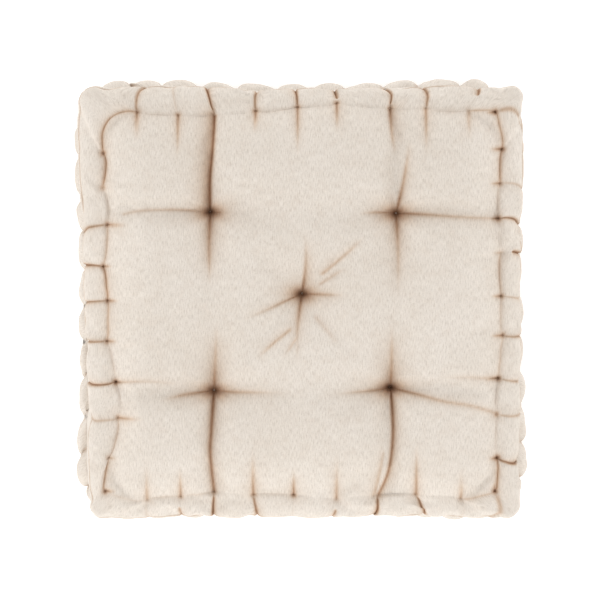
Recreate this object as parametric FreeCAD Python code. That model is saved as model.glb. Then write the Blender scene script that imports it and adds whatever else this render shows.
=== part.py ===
import FreeCAD, Part

import math
import os

# A square boxed seat pad with a hand-stitched rolled edge and five thread tufts.
# It lies flat. +Z is up, +X runs along its width and +Y towards its back edge.
# The origin is on the underside, at the middle of the pad. All sizes are in millimetres.

# Overall size, over the lower roll and up to the top of the puffs
WIDTH = 508.0
DEPTH = 496.0
THICKNESS = 127.0

# Fabric, threads and twine
FABRIC = 1.2
STITCH_THREAD_R = 0.5
SEAM_THREAD_R = 0.4
TWINE_R = 1.2
KNOT_R = 3.0

# The two rolls run round the pad, above and below the boxing
ROLL_R = 16.0
UPPER_ROLL_Z = 88.0
LOWER_ROLL_Z = ROLL_R
UPPER_ROLL_INSET = 8.0
UPPER_ROLL_CORNER_R = 19.0
LOWER_ROLL_CORNER_R = 22.0

# The stuffed middle: an upper and a lower block, set in from each roll's centre line
BLOCK_SET_IN = 13.0
UPPER_BLOCK_CORNER_R = 30.0
UPPER_BLOCK_EDGE_R = 28.0
LOWER_BLOCK_CORNER_R = 12.0
LOWER_BLOCK_EDGE_R = 10.0
BLOCKS_MEET_Z = 60.0
GROOVE_FLOOR_Z = 96.0
GROOVE_FLOOR_SET_IN = 4.0

# The boxing stands a little outside the upper roll's centre line
BOXING_SET_OUT = 10.0

# Five tufts, one near the middle and four around it, tied by hand a few millimetres off
# square. Each is a funnel in both faces.
TUFTS = {
    "centre": (2.0, 9.0),
    "front_left": (-95.0, -98.0),
    "front_right": (100.0, -95.0),
    "back_left": (-99.0, 99.0),
    "back_right": (106.0, 98.0),
}
TUFT_HOLE_R = 4.0
UPPER_FUNNEL_R = 41.0
LOWER_FUNNEL_R = 30.0

# Seams, and the stitches that pinch the rolls. Each loop is sunk in the fabric, and raised
# a little from the roll's centre, so that none reaches below the underside.
UPPER_SEAM_Z = UPPER_ROLL_Z + 5.0
LOWER_SEAM_Z = LOWER_ROLL_Z - 5.0
STITCHES_PER_SIDE = 10
STITCH_LOOP_R = ROLL_R - 0.3
STITCH_LOOP_RAISE = 0.35

# Worked out from the above: the half sizes of each roll's centre line
LOWER_ROLL_HALF = (WIDTH / 2 - ROLL_R, DEPTH / 2 - ROLL_R)
UPPER_ROLL_HALF = (LOWER_ROLL_HALF[0] - UPPER_ROLL_INSET, LOWER_ROLL_HALF[1] - UPPER_ROLL_INSET)

# Cutting shapes reach this far from the middle, well outside the pad
BEYOND = 400.0
# Lengths under this count as nothing
TINY = 1e-4
UP = FreeCAD.Vector(0, 0, 1)


def rounded_block(half, corner_r, low_z, high_z, inset=0.0):
    """An upright block with rounded corners, its sides moved in by inset."""
    x, y = half[0] - inset, half[1] - inset
    block = Part.makeBox(2 * x, 2 * y, high_z - low_z, FreeCAD.Vector(-x, -y, low_z))
    upright = [e for e in block.Edges if e.BoundBox.ZLength > TINY]
    return block.makeFillet(corner_r - inset, upright)


def ease_edge(block, z, radius):
    """Rounds the edge that runs round a block at height z."""
    level = [e for e in block.Edges if abs(e.BoundBox.ZMin - z) < TINY and e.BoundBox.ZLength < TINY]
    return block.makeFillet(radius, level)


def ring_tube(half, corner_r, z, radius):
    """A round tube that follows a rounded rectangle at height z."""
    straight_x, straight_y = half[0] - corner_r, half[1] - corner_r
    parts = []
    for side in (-1, 1):
        along_x = FreeCAD.Vector(-straight_x, side * half[1], z)
        along_y = FreeCAD.Vector(side * half[0], -straight_y, z)
        parts.append(Part.makeCylinder(radius, 2 * straight_x, along_x, FreeCAD.Vector(1, 0, 0)))
        parts.append(Part.makeCylinder(radius, 2 * straight_y, along_y, FreeCAD.Vector(0, 1, 0)))
    for quarter, (side_x, side_y) in enumerate(((1, 1), (-1, 1), (-1, -1), (1, -1))):
        bend = Part.makeTorus(corner_r, radius, FreeCAD.Vector(), UP, 0, 360, 90)
        bend.rotate(FreeCAD.Vector(), UP, 90 * quarter)
        bend.translate(FreeCAD.Vector(side_x * straight_x, side_y * straight_y, z))
        parts.append(bend)
    return parts[0].multiFuse(parts[1:]).removeSplitter()


def funnel(x, y, radius, face_z, towards, inset=0.0):
    """The space of one tuft's funnel, a quarter round turned about the tuft's axis."""
    floor_z = face_z - towards * (radius + inset)
    rim = TUFT_HOLE_R + radius
    mid = math.sqrt(0.5) * (radius - inset)
    hub_z = face_z - towards * radius
    arc = Part.Arc(
        FreeCAD.Vector(rim - radius + inset, 0, hub_z),
        FreeCAD.Vector(rim - mid, 0, hub_z + towards * mid),
        FreeCAD.Vector(rim, 0, face_z - towards * inset),
    ).toShape()
    corners = [
        FreeCAD.Vector(rim, 0, face_z - towards * inset),
        FreeCAD.Vector(rim, 0, face_z + towards * KNOT_R),
        FreeCAD.Vector(0, 0, face_z + towards * KNOT_R),
        FreeCAD.Vector(0, 0, floor_z),
        FreeCAD.Vector(rim - radius + inset, 0, floor_z),
        FreeCAD.Vector(rim - radius + inset, 0, hub_z),
    ]
    edges = [arc]
    for start, end in zip(corners, corners[1:]):
        if start.distanceToPoint(end) > TINY:
            edges.append(Part.makeLine(start, end))
    space = Part.Face(Part.Wire(Part.__sortEdges__(edges))).revolve(FreeCAD.Vector(), UP, 360)
    space.translate(FreeCAD.Vector(x, y, 0))
    return space


def stuffed_shape(inset):
    """The whole pad with every face moved in by inset: 0 is the outside of the cover."""
    upper_half = [h - BLOCK_SET_IN for h in UPPER_ROLL_HALF]
    lower_half = [h - BLOCK_SET_IN for h in LOWER_ROLL_HALF]
    groove_half = [h - GROOVE_FLOOR_SET_IN for h in UPPER_ROLL_HALF]
    boxing_half = [h + BOXING_SET_OUT for h in UPPER_ROLL_HALF]
    top_z, base_z = THICKNESS - inset, inset
    upper = rounded_block(upper_half, UPPER_BLOCK_CORNER_R, BLOCKS_MEET_Z, top_z, inset)
    upper = ease_edge(upper, top_z, UPPER_BLOCK_EDGE_R - inset)
    lower = rounded_block(lower_half, LOWER_BLOCK_CORNER_R, base_z, BLOCKS_MEET_Z, inset)
    lower = ease_edge(lower, base_z, LOWER_BLOCK_EDGE_R - inset)
    groove_corner_r = UPPER_ROLL_CORNER_R - GROOVE_FLOOR_SET_IN
    boxing_corner_r = UPPER_ROLL_CORNER_R + BOXING_SET_OUT
    pieces = [
        lower,
        rounded_block(groove_half, groove_corner_r, BLOCKS_MEET_Z, GROOVE_FLOOR_Z - inset, inset),
        rounded_block(boxing_half, boxing_corner_r, LOWER_ROLL_Z, UPPER_ROLL_Z, inset),
        ring_tube(UPPER_ROLL_HALF, UPPER_ROLL_CORNER_R, UPPER_ROLL_Z, ROLL_R - inset),
        ring_tube(LOWER_ROLL_HALF, LOWER_ROLL_CORNER_R, LOWER_ROLL_Z, ROLL_R - inset),
    ]
    shape = upper.multiFuse(pieces).removeSplitter()
    for x, y in TUFTS.values():
        shape = shape.cut(funnel(x, y, UPPER_FUNNEL_R, THICKNESS, 1, inset))
        shape = shape.cut(funnel(x, y, LOWER_FUNNEL_R, 0.0, -1, inset))
    return shape


def tuft_tie(x, y):
    """Twine pulled through the pad, with a knot in the floor of each funnel."""
    low_z, high_z = LOWER_FUNNEL_R, THICKNESS - UPPER_FUNNEL_R
    twine = Part.makeCylinder(TWINE_R, high_z - low_z, FreeCAD.Vector(x, y, low_z))
    knots = [Part.makeSphere(KNOT_R, FreeCAD.Vector(x, y, z)) for z in (low_z, high_z)]
    return twine.multiFuse(knots).removeSplitter()


def stitch_loop(centre, heading):
    """One loop of thread around the roll, in the plane that faces along heading."""
    raised = centre + FreeCAD.Vector(0, 0, STITCH_LOOP_RAISE)
    return Part.makeTorus(STITCH_LOOP_R, STITCH_THREAD_R, raised, heading)


def side_stitches(half, corner_r, z, quarter):
    """The loops along one side and at the corner it ends in. Quarter 0 is the right side."""
    along = half[1] if quarter % 2 == 0 else half[0]
    out = half[0] if quarter % 2 == 0 else half[1]
    pitch = 2 * along / STITCHES_PER_SIDE
    loops = []
    for i in range(1, STITCHES_PER_SIDE):
        centre = FreeCAD.Vector(out, i * pitch - along, z)
        loops.append(stitch_loop(centre, FreeCAD.Vector(0, 1, 0)))
    diagonal = math.sqrt(0.5) * corner_r
    corner = FreeCAD.Vector(out - corner_r + diagonal, along - corner_r + diagonal, z)
    loops.append(stitch_loop(corner, FreeCAD.Vector(-1, 1, 0)))
    group = Part.makeCompound(loops)
    group.rotate(FreeCAD.Vector(), UP, 90 * quarter)
    return group


def seam_ring(half, corner_r, roll_z, seam_z):
    """The thread of a seam that runs round the pad, just inside the fabric of a roll."""
    reach = math.sqrt((ROLL_R - FABRIC) ** 2 - (seam_z - roll_z) ** 2)
    grown = [h + reach for h in half]
    return ring_tube(grown, corner_r + reach, seam_z, SEAM_THREAD_R)


def corner_seam(side_x, side_y):
    """The upright thread that joins two boxing strips, just inside a corner."""
    corner_r = UPPER_ROLL_CORNER_R + BOXING_SET_OUT
    from_axis = math.sqrt(0.5) * (corner_r - FABRIC)
    x = UPPER_ROLL_HALF[0] + BOXING_SET_OUT - corner_r + from_axis
    y = UPPER_ROLL_HALF[1] + BOXING_SET_OUT - corner_r + from_axis
    low_z = LOWER_ROLL_Z + ROLL_R
    high_z = UPPER_ROLL_Z - ROLL_R
    return Part.makeCylinder(SEAM_THREAD_R, high_z - low_z, FreeCAD.Vector(side_x * x, side_y * y, low_z))


def side_wedge(quarter):
    """The region that faces one side, out to the corners. Quarter 0 is the right side."""
    longer = UPPER_ROLL_HALF[0] - UPPER_ROLL_HALF[1]
    tip_x = longer if quarter % 2 == 0 else -longer
    outline = [
        FreeCAD.Vector(tip_x, 0, -BEYOND),
        FreeCAD.Vector(tip_x + BEYOND, -BEYOND, -BEYOND),
        FreeCAD.Vector(tip_x + BEYOND, BEYOND, -BEYOND),
        FreeCAD.Vector(tip_x, 0, -BEYOND),
    ]
    wedge = Part.Face(Part.makePolygon(outline)).extrude(FreeCAD.Vector(0, 0, 2 * BEYOND))
    wedge.rotate(FreeCAD.Vector(), UP, 90 * quarter)
    return wedge


def boxing_region():
    """The band between the two seams, hollow inside the rolls, where the funnels are."""
    low_z, height = LOWER_SEAM_Z, UPPER_SEAM_Z - LOWER_SEAM_Z
    band = Part.makeBox(2 * BEYOND, 2 * BEYOND, height, FreeCAD.Vector(-BEYOND, -BEYOND, low_z))
    x, y = (h - GROOVE_FLOOR_SET_IN for h in UPPER_ROLL_HALF)
    return band.cut(Part.makeBox(2 * x, 2 * y, height, FreeCAD.Vector(-x, -y, low_z)))


def make_threads():
    """Every thread and tie, by node name."""
    threads = {"tuft_tie_" + name: tuft_tie(x, y) for name, (x, y) in TUFTS.items()}
    rolls = {
        "upper": (UPPER_ROLL_HALF, UPPER_ROLL_CORNER_R, UPPER_ROLL_Z, UPPER_SEAM_Z),
        "lower": (LOWER_ROLL_HALF, LOWER_ROLL_CORNER_R, LOWER_ROLL_Z, LOWER_SEAM_Z),
    }
    for roll, (half, corner_r, roll_z, seam_z) in rolls.items():
        for quarter, side in enumerate(("right", "back", "left", "front")):
            name = roll + "_edge_stitches_" + side
            threads[name] = side_stitches(half, corner_r, roll_z, quarter)
        threads[roll + "_seam_thread"] = seam_ring(half, corner_r, roll_z, seam_z)
    for front_back, side_y in (("front", -1), ("back", 1)):
        for left_right, side_x in (("left", -1), ("right", 1)):
            name = "corner_seam_thread_" + front_back + "_" + left_right
            threads[name] = corner_seam(side_x, side_y)
    return threads


def make_pad():
    """The cover's pieces and the filling, with room cut in them for the threads."""
    outside = stuffed_shape(0.0)
    inside = stuffed_shape(FABRIC)
    threads = make_threads()
    room = Part.makeCompound(list(threads.values()))
    cover = outside.cut(inside)
    band = boxing_region()
    faces = sorted(cover.cut(band).Solids, key=lambda solid: solid.CenterOfMass.z)
    nodes = {
        "fibre_filling": inside.cut(room),
        "bottom_panel": faces[0].cut(room),
        "top_panel": faces[-1].cut(room),
    }
    boxing = cover.common(band)
    for quarter, side in enumerate(("right", "back", "left", "front")):
        nodes["boxing_" + side] = boxing.common(side_wedge(quarter)).cut(room)
    nodes.update(threads)
    return nodes


os.makedirs("parts", exist_ok=True)
for node, shape in make_pad().items():
    volume = sum(solid.Volume for solid in shape.Solids)
    box = shape.optimalBoundingBox()
    print(f"{node}: {len(shape.Solids)} solids, {volume / 1000:.1f} cm3, valid {shape.isValid()}, "
          f"z {box.ZMin:.2f} to {box.ZMax:.2f}, half x {box.XMax:.1f}, half y {box.YMax:.1f}")
    shape.exportStep("parts/" + node + ".step")
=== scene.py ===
import math

import bpy
import numpy as np
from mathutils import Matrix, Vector


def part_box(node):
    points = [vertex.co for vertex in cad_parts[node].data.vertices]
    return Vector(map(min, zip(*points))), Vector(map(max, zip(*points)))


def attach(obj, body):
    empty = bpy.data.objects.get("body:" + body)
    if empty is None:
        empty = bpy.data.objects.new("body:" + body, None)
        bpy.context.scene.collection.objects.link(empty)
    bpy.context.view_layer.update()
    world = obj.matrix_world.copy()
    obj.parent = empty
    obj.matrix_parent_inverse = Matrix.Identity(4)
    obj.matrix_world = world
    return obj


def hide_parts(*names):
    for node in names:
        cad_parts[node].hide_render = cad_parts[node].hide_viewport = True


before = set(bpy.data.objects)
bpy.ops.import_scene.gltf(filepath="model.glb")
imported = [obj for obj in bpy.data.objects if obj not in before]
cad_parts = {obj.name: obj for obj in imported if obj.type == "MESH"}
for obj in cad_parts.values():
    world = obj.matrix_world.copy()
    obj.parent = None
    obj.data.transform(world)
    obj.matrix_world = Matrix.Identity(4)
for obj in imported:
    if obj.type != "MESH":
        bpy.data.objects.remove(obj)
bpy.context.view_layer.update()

# The pad lies flat, +Y is its back edge. Shapes are worked out in millimetres and go into
# Blender in metres.
MM = 0.001
UP = np.array((0.0, 0.0, 1.0))
rng = np.random.default_rng(12)

# ---- sizes taken from the frame


def node_box(name):
    """A CAD node's lowest and highest corners, in millimetres."""
    low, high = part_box(name)
    return np.array(low) / MM, np.array(high) / MM


upper_low, upper_high = node_box("upper_edge_stitches_right")
back_upper_high = node_box("upper_edge_stitches_back")[1]
lower_high = node_box("lower_edge_stitches_right")[1]
back_lower_high = node_box("lower_edge_stitches_back")[1]
pad_high = node_box("top_panel")[1]

# How far the stitches draw the upper roll in from where it would lie
ROLL_PRESSED_IN = 5.0
# How far the CAD's stitches stand out of a roll, and how much higher than the upper roll they lie
STITCHES_PROUD = 0.2
STITCHES_HIGH = 0.35
ROLL_R = (upper_high[2] - upper_low[2]) / 2 - STITCHES_PROUD
UPPER_Z = (upper_high[2] + upper_low[2]) / 2 - STITCHES_HIGH
LOWER_Z = ROLL_R
TOP_Z = pad_high[2]
UPPER_OUT = np.array((upper_high[0], back_upper_high[1])) - ROLL_PRESSED_IN
LOWER_OUT = np.array((lower_high[0], back_lower_high[1])) - STITCHES_PROUD
# Seen from above, from a roll's inner line to its outer edge
ROLL_WIDTH = 1.81 * ROLL_R
UPPER_IN = UPPER_OUT + ROLL_PRESSED_IN - ROLL_WIDTH
LOWER_IN = LOWER_OUT - ROLL_WIDTH
# The upper roll's first and last row, as degrees round it: 90 is its top, 0 its outermost line
UPPER_FROM, UPPER_TO = 106, -55
GROOVE_Z = UPPER_Z + ROLL_R * math.sin(math.radians(UPPER_FROM))
# The pad isn't quite square: how far each roll's outer corners lie off the even outline
UPPER_DRIFT = {(-1, -1): (9.5, -3.5), (1, -1): (2.0, -4.5), (1, 1): (5.0, 2.5), (-1, 1): (-3.0, 1.5)}
LOWER_DRIFT = {(-1, -1): (4.0, 1.5), (1, -1): (0.0, 1.5), (1, 1): (-3.5, -4.0), (-1, 1): (1.5, -4.0)}

TUFT_NAMES = ("centre", "front_left", "front_right", "back_left", "back_right")
TUFTS = {}
for name in TUFT_NAMES:
    low, high = node_box("tuft_tie_" + name)
    TUFTS[name] = (low + high)[:2] / 2

# Edge stitches of the upper roll. Each has its place along the side, how far in from the even
# line the needle went, how far the fold over the roll leans along the side by its outer edge,
# the length of the crease that it pulls into the panel, how deep its pit is and how much painted
# shade the pit gets, how sharp the fold is, how far over the roll that fold starts, and how deep
# the line is from this stitch to the next. Fold sharpness and line depth set painted shade too.
SIDES = ("front", "right", "back", "left")
UPPER_STITCHES = {
    "front": (
        (-170, -8, 3, 34, 0.3, 0.1, 0, 0.15), (-131, -4, 0, 30, 0.5, 0.5, 0.4, 0.15),
        (-95, 1, -1, 0, 0.4, 1.0, 0, 0), (-52, -3, 4, 46, 0.7, 0.75, 0, 0.1),
        (-7, -2, -3, 26, 0.7, 0.05, 0, 0), (41, -6, -8, 44, 0.4, 0.6, 0.4, 0),
        (85, -2, -5, 0, 0.4, 1.0, 0, 0), (129, -2, 8, 52, 0.6, 0.9, 0, 0),
        (178, -7, -4, 30, 0.3, 0.05, 0, 0.35),
    ),
    "right": (
        (-172, -1, -2, 10, 1.0, 0.85, 0, 0.1), (-124, 0, 1, 0, 0.6, 0.35, 0, 0.1),
        (-85, -2, -1, 20, 0.7, 0.4, 0, 0.3), (-38, -7, 0, 14, 0.7, 0.5, 0, 0.25),
        (6, -5, -3, 12, 0.6, 0.3, 0, 0.4), (55, -5, -2, 10, 0.1, 0.9, 0.45, 0.05),
        (92, -2, -8, 12, 0.8, 0.8, 0, 0.2), (130, -4, -6, 12, 0.6, 0.25, 0, 0.7),
        (169, -6, -6, 14, 0.9, 0, 0, 0.6),
    ),
    "back": (
        (-179, 2, 10, 28, 0.7, 0.6, 0, 0.1), (-135, 5, -3, 42, 0.6, 0.15, 0, 0),
        (-94, 5, -9, 0, 0.3, 1.0, 0, 0), (-48, 0, 1, 22, 0.8, 0.7, 0, 0.1),
        (-3, -4, -2, 48, 0.6, 0.9, 0, 0), (41, -9, -3, 28, 0.7, 0.9, 0.3, 0),
        (99, -2, -9, 0, 0.5, 0.9, 0, 0), (139, -2, -3, 44, 0.5, 0.7, 0, 0.1),
        (187, 1, 8, 30, 0.2, 0.8, 0.5, 0.45),
    ),
    "left": (
        (-173, 5, 0, 10, 0.3, 0, 0, 0.3), (-128, 16, 0, 26, 0.6, 0.3, 0, 0.05),
        (-89, 14, 1, 12, 0.8, 0.8, 0, 0.15), (-43, 4, 0, 12, 0.7, 0.6, 0, 0.5),
        (1, 5, -2, 12, 0.8, 0.6, 0, 0.8), (39, 0, 1, 10, 0.8, 0.8, 0, 0.4),
        (85, 5, -10, 22, 0.7, 0.6, 0, 0.15), (127, -1, -2, 0, 0.6, 0, 0, 0.8),
        (164, 0, 2, 0, 0.9, 0, 0, 0.8),
    ),
}
# How deep the line is before each side's first stitch, and how far the roll bulges in over it
FIRST_LINE = {"front": 0.15, "right": 0.8, "back": 0.6, "left": 0.7}
LINE_BULGE = {"front": 1.0, "right": 1.5, "back": 1.5, "left": 3.0}
# The stitch at the corner where a side ends: the side and place that its fold leads out to,
# its pit and its fold. The back left corner has none.
CORNER_STITCHES = {
    "front": ("front", 220, 0.9, 0.7),
    "right": ("right", 203, 0.9, 0.8),
    "left": ("left", -222, 0.7, 0),
}
LOWER_STITCHES = 46
LOWER_STITCH_DRIFT = rng.uniform(-0.09, 0.09, LOWER_STITCHES)

# The folds that the tufts and the stuffing press into the top panel: the points that each
# passes through, its depth at both ends, the side that slopes gently (1 left of its way, -1
# right, 0 both), how far that slope reaches, and how much painted shade the fold gets at both ends.
FOLDS = (
    # back left tuft
    (((-99, 99), (-99, 135), (-96, 168), (-94, 205)), 9, 6, 1, 8, 1.0, 0.9),
    (((-99, 99), (-100, 60), (-99, 12)), 8, 3, 0, 6, 1.0, 0.3),
    (((-99, 99), (-135, 102), (-175, 101), (-194, 97)), 5, 1, 0, 2.2, 0.6, 0.2),
    (((-99, 99), (-80, 99)), 6, 0, 0, 5, 0.9, 0.0),
    # back right tuft
    (((106, 98), (114, 135), (119, 168), (121, 184)), 6, 1.5, -1, 4, 0.9, 0.3),
    (((99, 213), (101, 185), (106, 155)), 6, 1, 1, 6, 0.8, 0.1),
    (((106, 98), (108, 50), (107, -4)), 8, 2, 0, 6, 1.0, 0.15),
    (((106, 98), (134, 97), (178, 94), (216, 92)), 6, 1.5, 0, 3, 0.9, 0.25),
    (((106, 98), (85, 99), (60, 98)), 6, 0, 0, 4.5, 0.9, 0.0),
    # front left tuft
    (((-95, -98), (-93, -55), (-92, -16)), 8, 2, 0, 8, 0.9, 0.15),
    (((-95, -98), (-98, -144), (-99, -166), (-95, -210)), 8, 5, 0, 3.5, 0.95, 0.7),
    (((-203, -89), (-167, -87), (-120, -91)), 3, 0.5, 1, 4, 0.4, 0.1),
    (((-95, -98), (-128, -102), (-158, -109)), 6, 1, 0, 4, 0.9, 0.2),
    (((-95, -98), (-66, -99), (-5, -99)), 6, 1, 0, 4.5, 0.9, 0.1),
    # front right tuft
    (((100, -95), (101, -60), (101, -16)), 8, 2, 0, 8, 0.9, 0.15),
    (((100, -95), (102.5, -143), (97.5, -186), (86, -214)), 8, 4, 1, 4, 1.0, 0.7),
    (((92, -166), (87, -192), (82, -214)), 2, 3, -1, 5, 0.2, 0.4),
    (((100, -95), (84, -97), (30, -101)), 6, 0.5, 0, 4, 0.9, 0.05),
    (((100, -95), (128, -101), (160, -109), (189, -114), (216, -123)), 6, 1.5, 0, 3.2, 0.9, 0.3),
    (((219, -85), (180, -82), (143, -82)), 3, 0.5, 0, 3, 0.4, 0.05),
    # centre tuft
    (((2, 9), (6, 40), (6, 68), (3, 84)), 7, 1, -1, 7, 1.0, 0.1),
    (((2, 9), (-3, -32), (-2, -74)), 7, 1, 0, 5, 1.0, 0.1),
    (((2, 9), (22, 9), (58, 8)), 7, 0.5, 0, 5, 1.0, 0.0),
    (((2, 9), (-17, 1), (-39, -9), (-70, -21)), 6, 1, -1, 4.5, 0.9, 0.1),
    (((25, 32), (50, 53), (74, 76)), 2.2, 1.4, 1, 4, 0.4, 0.3),
    (((22, 20), (52, 40)), 1.8, 1.0, 1, 4, 0.28, 0.2),
    (((-11, -30), (-31, -46), (-50, -64)), 2.2, 1.2, -1, 4, 0.4, 0.3),
    (((-3, -38), (-17, -58)), 1.8, 1.0, -1, 4, 0.28, 0.2),
    (((17, -16), (46, -50)), 1.6, 1.0, 1, 5, 0.2, 0.12),
)

# ---- helpers


def smoothstep(x):
    x = np.clip(x, 0, 1)
    return x * x * (3 - 2 * x)


def fade(x, reach, power=1):
    """1 where x is 0, falling away past reach."""
    return np.exp(-((x / reach) ** power))


def unit(vectors):
    """Vectors, each made one long."""
    return vectors / np.linalg.norm(vectors, axis=-1, keepdims=True)


def flat_distance(grid, place):
    """How far each point of a grid is from a place, seen from above."""
    return np.hypot(grid[..., 0] - place[0], grid[..., 1] - place[1])


def add_object(name, data):
    obj = bpy.data.objects.new(name, data)
    bpy.context.scene.collection.objects.link(obj)
    return obj


def spline_weights(at, count, closed=False):
    """The matrix that reads a row of count values at the fractional places at, smoothly."""
    first = np.floor(at).astype(int)
    if not closed:
        first = np.clip(first, 0, count - 2)
    t = (at - first)[:, None]
    weights = np.hstack((
        -0.5 * t + t**2 - 0.5 * t**3,
        1 - 2.5 * t**2 + 1.5 * t**3,
        0.5 * t + 2 * t**2 - 1.5 * t**3,
        -0.5 * t**2 + 0.5 * t**3,
    ))
    matrix = np.zeros((len(at), count))
    rows = np.arange(len(at))
    for k in range(4):
        column = first + k - 1
        column = column % count if closed else np.clip(column, 0, count - 1)
        np.add.at(matrix, (rows, column), weights[:, k])
    return matrix


def smooth_noise(x, y, cell, seed):
    """Soft random bumps between -1 and 1, about cell millimetres apart."""
    local = np.random.default_rng(seed)
    size = 64
    grid = local.uniform(-1, 1, (size, size))
    fx, fy = (x / cell) % size, (y / cell) % size
    ix, iy = np.floor(fx).astype(int), np.floor(fy).astype(int)
    tx, ty = smoothstep(fx - ix), smoothstep(fy - iy)
    ix, iy = ix % size, iy % size
    jx, jy = (ix + 1) % size, (iy + 1) % size
    low = grid[ix, iy] * (1 - tx) + grid[jx, iy] * tx
    high = grid[ix, jy] * (1 - tx) + grid[jx, jy] * tx
    return low * (1 - ty) + high * ty


def curve_through(points, step):
    """Points about step apart along a smooth curve through a few points."""
    points = np.array(points, float)
    lengths = np.linalg.norm(np.diff(points, axis=0), axis=1)
    places = [np.arange(0, max(2, math.ceil(d / step))) for d in lengths]
    at = np.concatenate([i + p / len(p) for i, p in enumerate(places)] + [[len(points) - 1.0]])
    return spline_weights(at, len(points)) @ points


def plan(u, v, half, corner_r):
    """Spreads the square -1..1 over a rectangle with rounded corners."""
    x, y = u * half[0], v * half[1]
    x_out, y_out = x.copy(), y.copy()
    for (side_x, side_y), r in corner_r.items():
        p = (side_x * x - half[0] + r) / r
        q = (side_y * y - half[1] + r) / r
        zone = (p > 0) & (q > 0)
        p, q = np.clip(p, 0, 1), np.clip(q, 0, 1)
        x_out[zone] = (side_x * (half[0] - r + r * p * np.sqrt(1 - q * q / 2)))[zone]
        y_out[zone] = (side_y * (half[1] - r + r * q * np.sqrt(1 - p * p / 2)))[zone]
    return x_out, y_out


def corners(r, back_left=None):
    return {(1, 1): r, (-1, 1): back_left or r, (-1, -1): r, (1, -1): r}


def rim(grid):
    """The outline of a grid, once round from its front left corner by the front side."""
    return np.concatenate((grid[:-1, 0], grid[-1, :-1], grid[:0:-1, -1], grid[0, :0:-1]))


def ring_length(outline):
    """How far round the pad each column of a ring lies, and the whole way round."""
    steps = np.linalg.norm(np.roll(outline, -1, axis=0) - outline, axis=1)
    return np.concatenate(([0], np.cumsum(steps)[:-1])), steps.sum()


# ---- the pad's surface, coarse


def polyline_place(x, y, path):
    """Each point's distance to a path, its signed side, and how far along it lies, 0 to 1."""
    best = np.full(x.shape, 1e9)
    side = np.zeros(x.shape)
    along = np.zeros(x.shape)
    steps = np.linalg.norm(np.diff(path, axis=0), axis=1)
    total = steps.sum()
    gone = 0.0
    for start, end, length in zip(path, path[1:], steps):
        way = (end - start) / length
        px, py = x - start[0], y - start[1]
        t = np.clip(px * way[0] + py * way[1], 0, length)
        nx, ny = px - t * way[0], py - t * way[1]
        distance = np.hypot(nx, ny)
        nearer = distance < best
        best = np.where(nearer, distance, best)
        side = np.where(nearer, np.sign(way[0] * py - way[1] * px), side)
        along = np.where(nearer, (gone + t) / total, along)
        gone += length
    return best, side, along


def shoulder(u, v, half, width, power=3.0):
    """0 at the panel's edge, rising and rounding over to 1 at width inside it."""
    dx = np.clip(1 - (1 - np.abs(u)) * half[0] / width, 0, 1)
    dy = np.clip(1 - (1 - np.abs(v)) * half[1] / width, 0, 1)
    near = np.clip((dx**power + dy**power) ** (1 / power), 0, 1)
    return (1 - near**2.2) ** 1.1


# The panel's broad dips: each one's depth at its tuft and at its far end, and its reach
DIP_TO_EDGE = (13, 3, 15)
DIP_BETWEEN = (13, 4.5, 19)
DIP_FROM_CENTRE = (5, 0, 14)


def soft_valleys():
    """The broad dips that lead from tuft to tuft and from each tuft to the edges."""
    t = TUFTS
    lines = []
    for name in TUFT_NAMES[1:]:
        x, y = t[name]
        edge_x, edge_y = np.sign(t[name]) * UPPER_IN
        lines.append(((x, y), (x, edge_y), *DIP_TO_EDGE))
        lines.append(((x, y), (edge_x, y), *DIP_TO_EDGE))
        lines.append((t["centre"], t["centre"] * 0.45 + t[name] * 0.55, *DIP_FROM_CENTRE))
    for one, other in (("front_left", "front_right"), ("back_left", "back_right"),
                       ("front_left", "back_left"), ("front_right", "back_right")):
        middle = (t[one] + t[other]) / 2
        lines.append((t[one], middle, *DIP_BETWEEN))
        lines.append((t[other], middle, *DIP_BETWEEN))
    return lines


def face_height(u, v, x, y, crown, floor, tuft_depth, tuft_reach, valley_scale, width):
    """Height of a tufted face above its stitched edge."""
    height = floor + (crown - floor) * shoulder(u, v, UPPER_IN, width)
    dip = np.zeros(x.shape)
    for start, end, deep, shallow, reach in soft_valleys():
        distance, _, along = polyline_place(x, y, np.array((start, end), float))
        line = (deep + (shallow - deep) * along) * fade(distance, reach, 2)
        dip = np.maximum(dip, line)
    height = height - valley_scale * dip
    for place in TUFTS.values():
        dx, dy = np.abs(x - place[0]) + 1e-6, np.abs(y - place[1]) + 1e-6
        star = (dx**0.8 + dy**0.8) ** (1 / 0.8)
        height = height - tuft_depth * fade(star, tuft_reach, 0.85)
    return height


ROLL_ROWS = 16
BOXING_ROWS = 9
ALL_ROWS = 2 * ROLL_ROWS + BOXING_ROWS
# The rows where the boxing meets the rolls, and those nearest to the rolls' outer edges
CREASE_ROWS = (ROLL_ROWS, ROLL_ROWS + BOXING_ROWS)
EDGE_ROWS = (12, 32)
LOWER_FROM, LOWER_TO = 100, -144


def roll_rows(inner, outer, inner_angle, middle_z, angles):
    """Rows of points round a roll that starts or ends at an inner ring and bulges out to an
    outer one."""
    way = outer - inner
    length = np.linalg.norm(way, axis=1, keepdims=True)
    way = way / length
    reach = length / (1 - math.cos(math.radians(inner_angle)))
    hub = outer - reach * way
    rows = []
    for angle in np.radians(angles):
        flat = hub + reach * math.cos(angle) * way
        rows.append(np.hstack((flat, np.full((len(flat), 1), middle_z + ROLL_R * math.sin(angle)))))
    return rows, np.hstack((way, np.zeros((len(way), 1))))


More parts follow.
